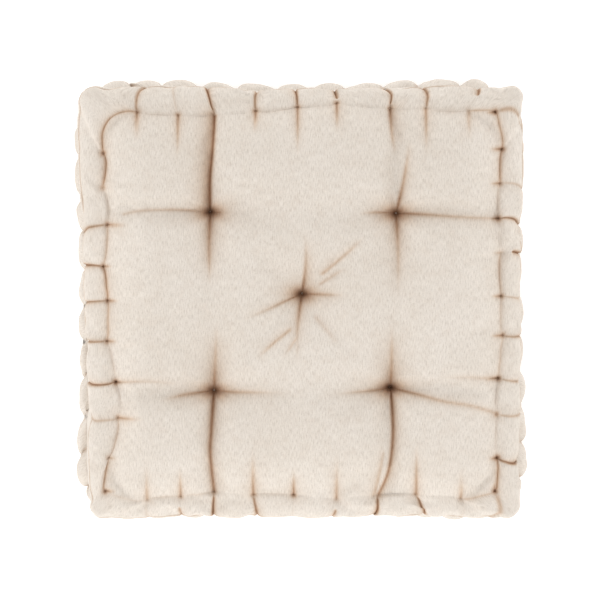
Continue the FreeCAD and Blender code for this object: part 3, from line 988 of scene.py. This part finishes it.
def make_cover():
    """Every cloth piece, and the surfaces that the threads and the filling follow."""
    lines = np.linspace(-1, 1, SIM_LINES + 1)
    coarse = build_shape(lines, lines)
    coarse = simulate(*coarse)
    lines_u = graded_lines(UPPER_IN[0], [t[0] for t in TUFTS.values()], FINE_LINES)
    lines_v = graded_lines(UPPER_IN[1], [t[1] for t in TUFTS.values()], FINE_LINES)
    top, sides, bottom = refine(*coarse, lines_u, lines_v)
    u, v = np.meshgrid(lines_u, lines_v, indexing="ij")
    top, sides = draw_in(top, sides, u, v)
    sides, stitches = follow_folds(sides, upper_stitch_list(sides[:, 0], sides[:, UPPER_SEAM]))
    points, faces, side_ids, first_bottom = closed_surface(top, sides, bottom)
    normals = vertex_normals(points, faces)
    bottom_n = normals[first_bottom:].reshape(bottom.shape)
    side_n = normals[side_ids]
    # marks on the panel go straight down, and turn to face the roll's own way over its side
    turned = smoothstep(np.arange(sides.shape[1]) / 10)[None, :, None]
    side_n = unit(side_n * turned + UP * (1 - turned))
    top_n = np.broadcast_to(UP, top.shape)

    lower_stitches = lower_stitch_list(sides[:, LOWER_SEAM])
    groove = rim(top)
    # the darkness that these marks give is painted shade in the folds, pits and grooves
    top_h, top_shade = cloth_marks(top[..., 0], top[..., 1], groove, stitches)
    side_h, side_shade = side_marks(sides, stitches, lower_stitches)
    roll = slice(0, UPPER_SEAM + 1)
    xy_h, xy_shade = cloth_marks(sides[:, roll, 0], sides[:, roll, 1], groove, stitches)
    over = 1 - smoothstep((np.arange(UPPER_SEAM + 1) - 4) / (UPPER_SEAM - 8))
    side_h[:, roll] += xy_h * over
    side_shade[:, roll] = np.maximum(side_shade[:, roll], xy_shade * over)

    # the stitched line between the stitches, on the panel and on the roll, with painted shade along it
    from_x, from_y = (1 - np.abs(u)) * UPPER_IN[0], (1 - np.abs(v)) * UPPER_IN[1]
    deep_x = np.where(u > 0, line_depth("right", top[..., 1]), line_depth("left", top[..., 1]))
    deep_y = np.where(v > 0, line_depth("back", top[..., 0]), line_depth("front", top[..., 0]))
    deep = deep_x + (deep_y - deep_x) * smoothstep(0.5 + (from_x - from_y) / 12)
    line_h, line_shade = groove_marks(np.minimum(from_x, from_y), deep)
    top_h += line_h
    top_shade = np.maximum(top_shade, line_shade)
    out = way_down(sides)
    roll_h, roll_shade = groove_marks(out, rim(deep)[:, None])
    side_h += roll_h
    side_shade = np.maximum(side_shade, roll_shade)

    # small unevenness of hand-filled cloth
    top_h += 0.9 * smooth_noise(top[..., 0], top[..., 1] * 0.6, 19, 3)
    top_h += 0.3 * smooth_noise(top[..., 0], top[..., 1] * 0.5, 8, 4)
    round_at, _ = ring_length(sides[:, UPPER_SEAM])
    uneven = 0.5 * smooth_noise(round_at[:, None] + 0 * out, out * 0.5, 11, 5)
    uneven += 1.1 * smooth_noise(round_at[:, None] + 0 * out, out * 0.3, 37, 6)
    side_h += uneven * smoothstep(out / 12)
    bottom_h, bottom_shade = np.zeros(u.shape), np.zeros(u.shape)
    side_h[:, 0], side_shade[:, 0] = rim(top_h), rim(top_shade)
    side_h[:, -1], side_shade[:, -1] = rim(bottom_h), rim(bottom_shade)

    outward = unit(side_n[:, None, UPPER_SEAM, :2])
    top_read = reading(top[..., :2], 0.0, top_shade)
    cap_read = reading(sides[:, :1, :2] + outward * out[..., None], 0.0, side_shade)
    round_and_down = np.stack((np.repeat(round_at[:, None], sides.shape[1], axis=1), out), axis=2)
    strip_read = reading(round_and_down, BOXING_WEAVE, side_shade)
    bottom_read = reading(bottom[..., :2], UNDER_WEAVE, bottom_shade)
    under_spread = sides[:, -1:, :2] + outward * (out[:, -1:] - out)[..., None]
    under_read = reading(under_spread, UNDER_WEAVE, side_shade)

    outer_top = lifted(top, top_n, top_h)
    outer_sides = lifted(sides, side_n, side_h)
    outer_bottom = lifted(bottom, bottom_n, bottom_h)
    # the inside is coarser than the outside, so it keeps clear of the creases where the boxing
    # meets the rolls, and of the pinches
    rows = row_places(ALL_ROWS)
    creases = sum(fade(rows - crease, 1.7, 2) for crease in CREASE_ROWS)
    side_low = np.maximum(1.3 * pooled_low(side_h, 2, True) - CLOTH - 3 * creases, -DEEPEST)
    inner_top = lifted(top, top_n, pooled_low(top_h, 2, False) - CLOTH, CLOTH)
    inner_sides = lifted(sides, side_n, side_low, CLOTH)
    inner_bottom = lifted(bottom, bottom_n, pooled_low(bottom_h, 2, False) - CLOTH, CLOTH)

    def cut(surface, read, step=1):
        return np.concatenate((surface, read), axis=2)[::step, ::step]

    pieces = {
        "top_panel": cap_shell(
            "cover_top", cut(outer_top, top_read), cut(outer_sides, cap_read)[:, :UPPER_SEAM + 1],
            cut(inner_top, top_read, 2), cut(inner_sides, cap_read, 2)[:, :UPPER_SEAM // 2 + 1], True),
        "bottom_panel": cap_shell(
            "cover_underside", cut(outer_bottom, bottom_read),
            cut(outer_sides, under_read)[:, :LOWER_SEAM - 1:-1], cut(inner_bottom, bottom_read, 2),
            cut(inner_sides, under_read, 2)[:, :LOWER_SEAM // 2 - 1:-1], False),
    }
    for number, side in enumerate(SIDES):
        columns = np.arange(number * FINE_LINES, (number + 1) * FINE_LINES + 1) % len(sides)
        outer_strip, inner_strip = (cut(surface, strip_read)[columns, UPPER_SEAM:LOWER_SEAM + 1]
                                    for surface in (outer_sides, inner_sides))
        pieces["boxing_" + side] = strip_shell("cover_side_" + side, outer_strip, inner_strip[::2, ::2])

    # the filling lies inside the cloth and is coarser: every fourth column and line, and every
    # second row. It keeps well back from the tufts, the stitched line and the creases, but no
    # deeper than the rolls are round.
    gap = CLOTH + FILLING_GAP
    top_gap = gap + 6 * fade(np.minimum(from_x, from_y), 9, 2) + tuft_gap(top)
    bottom_gap = gap + tuft_gap(bottom)
    side_gap = gap + 6 * fade(out, 9, 2) + 7 * creases
    side_depth = np.maximum(1.45 * pooled_low(side_h, 4, True) - side_gap, -DEEPEST)
    top_depth = pooled_low(top_h, 4, False) - top_gap
    bottom_depth = pooled_low(bottom_h, 4, False) - bottom_gap
    fill_top = lifted(top, top_n, top_depth, gap)[::4, ::4]
    fill_sides = lifted(sides, side_n, side_depth, gap)[::4, ::2]
    fill_bottom = lifted(bottom, bottom_n, bottom_depth, gap)[::4, ::4]
    fill_sides[:, 0], fill_sides[:, -1] = rim(fill_top), rim(fill_bottom)
    fill_points, fill_faces, _, _ = closed_surface(fill_top, fill_sides, fill_bottom)
    pieces["fibre_filling"] = make_mesh("filling", fill_points, [fill_faces])
    surfaces = {
        "top": outer_top, "sides": outer_sides, "inner_sides": inner_sides, "normals": side_n,
        "stitches": stitches, "lower_stitches": lower_stitches, "bottom": outer_bottom,
    }
    return pieces, surfaces


# ---- threads and twine


def tube(path, reference, radius, closed, sides=6):
    """Points and quads of a round tube along a path. The reference directions keep it from
    twisting. An open tube tapers shut at its ends."""
    path = np.asarray(path, float)
    if closed:
        way = np.roll(path, -1, axis=0) - np.roll(path, 1, axis=0)
    else:
        way = np.gradient(path, axis=0)
    way = unit(way)
    reference = np.broadcast_to(reference, path.shape)
    one = unit(reference - (reference * way).sum(axis=1, keepdims=True) * way)
    two = np.cross(way, one)
    turn = np.linspace(0, 2 * math.pi, sides, endpoint=False)
    thick = np.full(len(path), radius)
    if not closed:
        thick[0] = thick[-1] = 0.3 * radius
    ring = np.cos(turn)[None, :, None] * one[:, None] + np.sin(turn)[None, :, None] * two[:, None]
    points = path[:, None] + ring * thick[:, None, None]
    ids = np.arange(points.shape[0] * sides).reshape(-1, sides)
    after = np.roll(ids, -1, axis=0) if closed else ids[1:]
    here = ids if closed else ids[:-1]
    quads = np.stack((here, np.roll(here, -1, axis=1), np.roll(after, -1, axis=1), after), axis=-1)
    quads = quads.reshape(-1, 4)
    ends = np.empty((0, sides), int) if closed else np.stack((ids[0, ::-1], ids[-1]))
    return points.reshape(-1, 3), quads, ends


def joined(name, tubes):
    """One object from several tubes."""
    points, quads, ends, first = [], [], [], 0
    for tube_points, tube_quads, tube_ends in tubes:
        points.append(tube_points)
        quads.append(tube_quads + first)
        ends.append(tube_ends + first)
        first += len(tube_points)
    faces = [np.concatenate(quads)]
    caps = np.concatenate(ends)
    if len(caps):
        faces.append(caps)
    return make_mesh(name, np.concatenate(points), faces)


STITCH_R = 0.55
STITCH_HALF = 2.6


def stitch_loop(near, far, along):
    """A loop of thread through a roll that shows as a short stitch at each of its ends."""
    way = unit(far - near)
    route = []
    for end, inwards in ((near, way), (far, -way)):
        first = 1 if end is near else -1
        for step, depth in ((-1.0, 3.0), (-0.75, 0.4), (0, -0.35), (0.75, 0.4), (1.0, 3.0)):
            route.append(end + first * step * STITCH_HALF * along + depth * inwards)
    route = np.array(route)
    at = np.linspace(0, len(route), 44, endpoint=False)
    side = np.cross(way, along)
    return tube(spline_weights(at, len(route), closed=True) @ route, side, STITCH_R, True)


# The fine rows where a stitch comes out of each roll, at its near side and at its far one
STITCH_ROWS = {"upper": (0, 28), "lower": (52, 78)}


def make_stitches(surfaces):
    """The stitches of both rolls, one object for each side of each roll."""
    sides = surfaces["sides"]
    found = {}
    for roll, stitches in (("upper", surfaces["stitches"]), ("lower", surfaces["lower_stitches"])):
        near_row, far_row = STITCH_ROWS[roll]
        for side in SIDES:
            tubes = []
            for stitch in stitches:
                if stitch[-1] != side:
                    continue
                far_column = stitch[1] if roll == "upper" else stitch[0]
                near = read_ring(sides[:, near_row], stitch[0])
                far = read_ring(sides[:, far_row], far_column)
                before, after = (read_ring(sides[:, near_row], stitch[0] + k) for k in (-1, 1))
                tubes.append(stitch_loop(near, far, unit(after - before)))
            found[f"{roll}_edge_stitches_{side}"] = joined(f"stitches_{roll}_{side}", tubes)
    return found


SEWING_R = 0.4
# How far inside the cloth's inner face the sewing thread runs
SEWING_DEPTH = 0.7


def make_seams(surfaces):
    """The sewing thread of the two long seams and of the four corner seams."""
    normals = surfaces["normals"]
    run = surfaces["inner_sides"] - SEWING_DEPTH * normals
    found = {}
    for name, row in (("upper", UPPER_SEAM), ("lower", LOWER_SEAM)):
        ring = tube(run[::2, row], UP, SEWING_R, True)
        found[name + "_seam_thread"] = joined(f"thread_{name}_seam", [ring])
    for number, name in enumerate(("front_left", "front_right", "back_right", "back_left")):
        column = number * FINE_LINES
        path = run[column, UPPER_SEAM + 8:LOWER_SEAM - 7]
        facing = normals[column, (UPPER_SEAM + LOWER_SEAM) // 2]
        seam = tube(path, np.array((-facing[1], facing[0], 0)), SEWING_R, False)
        found["corner_seam_thread_" + name] = joined("thread_corner_" + name, [seam])
    return found


def height_at(grid, place):
    """The height of a face above a place."""
    distance = flat_distance(grid, place)
    return grid[np.unravel_index(np.argmin(distance), distance.shape)][2]


PLY_R = 0.55
PLY_PITCH = 4.0
KNOT_R = 0.7


def make_ties(surfaces):
    """Each tuft's twine, two plies twisted together, with a knot in the pit at each end."""
    found = {}
    for name, place in TUFTS.items():
        high, low = height_at(surfaces["top"], place), height_at(surfaces["bottom"], place)
        tubes = []
        turns = (high - low) / PLY_PITCH
        t = np.linspace(0, 1, int(turns * 12))
        middle = np.stack((0 * t + place[0], 0 * t + place[1], low + (high - low) * t), axis=1)
        for ply in (0, math.pi):
            angle = 2 * math.pi * turns * t + ply
            outward = np.stack((np.cos(angle), np.sin(angle), 0 * angle), axis=1)
            tubes.append(tube(outward * PLY_R + middle, outward, PLY_R, False))
        a = np.linspace(0, 2 * math.pi, 60, endpoint=False)
        ring = 1.5 + 0.75 * np.cos(3 * a)
        knot = np.stack((ring * np.cos(2 * a), ring * np.sin(2 * a), 0.8 * np.sin(3 * a)), axis=1)
        for z in (low, high):
            tubes.append(tube(knot + np.array((*place, z)), UP + 0.01, KNOT_R, True))
        found["tuft_tie_" + name] = joined("tie_" + name, tubes)
    return found


# ---- materials


class Nodes:
    """A few short ways to add shader nodes to a material. An input is a socket or a constant."""

    def __init__(self, name):
        self.material = bpy.data.materials.new(name)
        self.material.use_nodes = True
        self.tree = self.material.node_tree
        self.shader = self.tree.nodes["Principled BSDF"]

    def feed(self, node, inputs):
        for key, value in inputs.items():
            if isinstance(value, bpy.types.NodeSocket):
                self.tree.links.new(value, node.inputs[key])
            else:
                node.inputs[key].default_value = value

    def add(self, kind, inputs, **settings):
        node = self.tree.nodes.new(kind)
        for key, value in settings.items():
            setattr(node, key, value)
        self.feed(node, inputs)
        return node

    def math(self, operation, one, other):
        return self.add("ShaderNodeMath", {0: one, 1: other}, operation=operation).outputs[0]

    def noise(self, source, scale, detail=2.0, roughness=0.5):
        """Noise of one scale, or stretched by a factor along each axis."""
        if isinstance(scale, tuple):
            stretch = {0: source, 1: scale}
            source = self.add("ShaderNodeVectorMath", stretch, operation="MULTIPLY").outputs[0]
            scale = 1.0
        inputs = {"Vector": source, "Scale": scale, "Detail": detail, "Roughness": roughness}
        return self.add("ShaderNodeTexNoise", inputs).outputs["Fac"]

    def ramp(self, source, *stops):
        """Colours at places from 0 to 1."""
        node = self.add("ShaderNodeValToRGB", {"Fac": source})
        elements = node.color_ramp.elements
        while len(elements) < len(stops):
            elements.new(0.5)
        for element, (place, colour) in zip(elements, stops):
            element.position = place
            element.color = (*colour, 1)
        return node.outputs["Color"]

    def multiplied(self, one, other):
        """Two colours multiplied."""
        node = self.add("ShaderNodeMix", {}, data_type="RGBA", blend_type="MULTIPLY")
        inputs = {s.name: k for k, s in enumerate(node.inputs) if s.enabled}
        self.feed(node, {inputs["Factor"]: 1.0, inputs["A"]: one, inputs["B"]: other})
        return [s for s in node.outputs if s.enabled][0]

    def dress(self, colour, height, strength, distance, **constants):
        """Gives the shader its colour, its bumps and its constants, and returns the material."""
        bump = self.add("ShaderNodeBump", {"Height": height, "Strength": strength, "Distance": distance})
        self.feed(self.shader, {"Base Color": colour, "Normal": bump.outputs["Normal"]})
        self.feed(self.shader, {key.replace("_", " "): value for key, value in constants.items()})
        return self.material


CREAM = (0.79, 0.727, 0.66, 1)
WHITE = (1.0, 1.0, 1.0)
# Painted shade: what the light loses in the folds, from open cloth to the deepest of them
FOLD_SHADE_TINTS = (
    (0.0, WHITE), (0.25, (0.85, 0.735, 0.64)), (0.5, (0.65, 0.47, 0.355)),
    (0.75, (0.45, 0.275, 0.175)), (1.0, (0.24, 0.12, 0.05)),
)
THREAD_SPACING = 0.0011


def cloth_material():
    """Cream plain weave with slubs: thread by thread colour, soft mottling, painted brown shade in deep
    folds.
    """
    n = Nodes("cream_slub_cloth")
    weave = n.add("ShaderNodeAttribute", {}, attribute_name="weave").outputs["Vector"]
    # the fold attribute carries painted shade, darkest in the deepest folds, pits and grooves
    fold = n.add("ShaderNodeAttribute", {}, attribute_name="fold").outputs["Fac"]
    warp = n.noise(weave, (980.0, 160.0, 300.0), 3.0, 0.6)
    weft = n.noise(weave, (450.0, 1000.0, 300.0), 2.0, 0.55)
    long_warp = n.noise(weave, (620.0, 150.0, 300.0), 3.0, 0.6)
    blotch = n.noise(weave, 75.0, 3.0, 0.6)
    wide = n.noise(weave, 9.0, 3.0, 0.5)
    threads = n.math("ADD", n.math("MULTIPLY", warp, 0.75), n.math("MULTIPLY", weft, 0.25))
    colour = CREAM
    for tint in (
        n.ramp(threads, (0.35, (0.78, 0.765, 0.75)), (0.5, (0.935, 0.935, 0.935)), (0.63, WHITE)),
        n.ramp(long_warp, (0.3, (0.93, 0.915, 0.90)), (0.65, WHITE)),
        n.ramp(blotch, (0.3, (0.955, 0.94, 0.925)), (0.5, (0.985, 0.985, 0.98)), (0.7, WHITE)),
        n.ramp(wide, (0.3, (0.95, 0.94, 0.925)), (0.7, WHITE)),
        # painted shade of the folds, multiplied over the cloth's colour
        n.ramp(fold, *FOLD_SHADE_TINTS),
    ):
        colour = n.multiplied(colour, tint)

    split = n.add("ShaderNodeSeparateXYZ", {"Vector": weave})
    over, under = (n.math("SINE", n.math("MULTIPLY", split.outputs[axis], 2 * math.pi / THREAD_SPACING), 0.0)
                   for axis in ("X", "Y"))
    crossing = n.math("MULTIPLY", over, under)
    height = n.math("ADD", n.math("MULTIPLY", crossing, 0.12), threads)
    height = n.math("ADD", height, n.math("MULTIPLY", long_warp, 0.5))
    return n.dress(colour, height, 0.35, 0.0008, Roughness=0.93, Specular_IOR_Level=0.18,
                   Sheen_Weight=0.12, Sheen_Roughness=0.55, Sheen_Tint=(1.0, 0.96, 0.9, 1))


def fibre_material():
    """Off-white polyester fibre, matted."""
    n = Nodes("off_white_fibre")
    place = n.add("ShaderNodeTexCoord", {}).outputs["Object"]
    strands = n.noise(place, (260.0, 90.0, 180.0), 6.0, 0.7)
    clumps = n.noise(place, 45.0, 3.0)
    colour = n.ramp(strands, (0.3, (0.70, 0.64, 0.57)), (0.7, (0.88, 0.82, 0.75)))
    height = n.math("ADD", strands, clumps)
    return n.dress(colour, height, 0.6, 0.002, Roughness=1.0, Sheen_Weight=0.3)


def thread_material(name, dark, light, scale):
    """Spun thread or twine: fine streaks round its strands."""
    n = Nodes(name)
    place = n.add("ShaderNodeTexCoord", {}).outputs["Object"]
    streaks = n.noise(place, (scale, scale, scale), 4.0, 0.65)
    colour = n.ramp(streaks, (0.3, dark), (0.7, light))
    return n.dress(colour, streaks, 0.5, 0.0003, Roughness=0.8, Sheen_Weight=0.2)


# ---- the object

cover, surfaces = make_cover()
stitch_pieces = make_stitches(surfaces)
seam_pieces = make_seams(surfaces)
tie_pieces = make_ties(surfaces)

cloth = cloth_material()
fibre = fibre_material()
thread = thread_material("cream_sewing_thread", (0.55, 0.46, 0.37), (0.74, 0.66, 0.57), 2200.0)
twine = thread_material("cream_twine", (0.42, 0.33, 0.25), (0.66, 0.56, 0.46), 1500.0)


def place_pieces(pieces, material):
    for node, piece in pieces.items():
        piece.data.materials.append(material)
        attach(piece, "root")
        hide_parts(node)


filling = {"fibre_filling": cover.pop("fibre_filling")}
place_pieces(cover, cloth)
place_pieces(filling, fibre)
place_pieces(stitch_pieces, twine)
place_pieces(tie_pieces, twine)
place_pieces(seam_pieces, thread)

# ---- camera, floor, light

CAMERA_HEIGHT = 6.0
CAMERA_LEAN = math.radians(2.3)
VIEW_WIDTH = 0.668
# The view is that wide at this height
VIEW_Z = 0.05


def make_camera():
    data = bpy.data.cameras.new("camera")
    data.sensor_width = 36.0
    distance = CAMERA_HEIGHT - VIEW_Z
    data.lens = data.sensor_width * distance / VIEW_WIDTH
    data.clip_end = 20.0
    camera = add_object("camera", data)
    target = Vector((0.0, 0.0, VIEW_Z))
    camera.location = target + Vector((0, math.sin(CAMERA_LEAN), math.cos(CAMERA_LEAN))) * distance
    camera.rotation_euler = (-CAMERA_LEAN, 0, 0)
    bpy.context.scene.camera = camera


def make_floor():
    data = bpy.data.meshes.new("floor")
    reach = 12.0
    square = [(x * reach, y * reach, 0) for x, y in ((-1, -1), (1, -1), (1, 1), (-1, 1))]
    data.from_pydata(square, [], [(0, 1, 2, 3)])
    floor = add_object("floor", data)
    floor.location = (0, 0, -0.0005)
    m = bpy.data.materials.new("floor")
    m.use_nodes = True
    b = m.node_tree.nodes["Principled BSDF"]
    b.inputs["Base Color"].default_value = (0.9, 0.9, 0.9, 1)
    b.inputs["Roughness"].default_value = 0.8
    # it glows a little, which keeps the background white
    b.inputs["Emission Color"].default_value = (1, 1, 1, 1)
    b.inputs["Emission Strength"].default_value = 0.3
    data.materials.append(m)


def make_light():
    world = bpy.data.worlds.new("studio")
    world.use_nodes = True
    world.node_tree.nodes["Background"].inputs["Color"].default_value = (1, 1, 1, 1)
    world.node_tree.nodes["Background"].inputs["Strength"].default_value = 0.7
    bpy.context.scene.world = world
    for name, place, size, power in (
        ("key", (-0.6, -1.7, 2.3), 2.0, 16),
        ("box_front", (0.0, -2.4, 0.9), 1.6, 18),
        ("box_right", (2.4, 0.0, 0.9), 1.6, 18),
        ("box_back", (0.0, 2.4, 0.9), 1.6, 18),
        ("box_left", (-2.4, 0.0, 0.9), 1.6, 18),
    ):
        data = bpy.data.lights.new(name, "AREA")
        data.size = size
        data.energy = power
        light = add_object(name, data)
        light.location = place
        light.rotation_euler = (-Vector(place)).to_track_quat("-Z", "Y").to_euler()


bpy.context.scene.view_settings.view_transform = "Standard"
make_camera()
make_floor()
make_light()
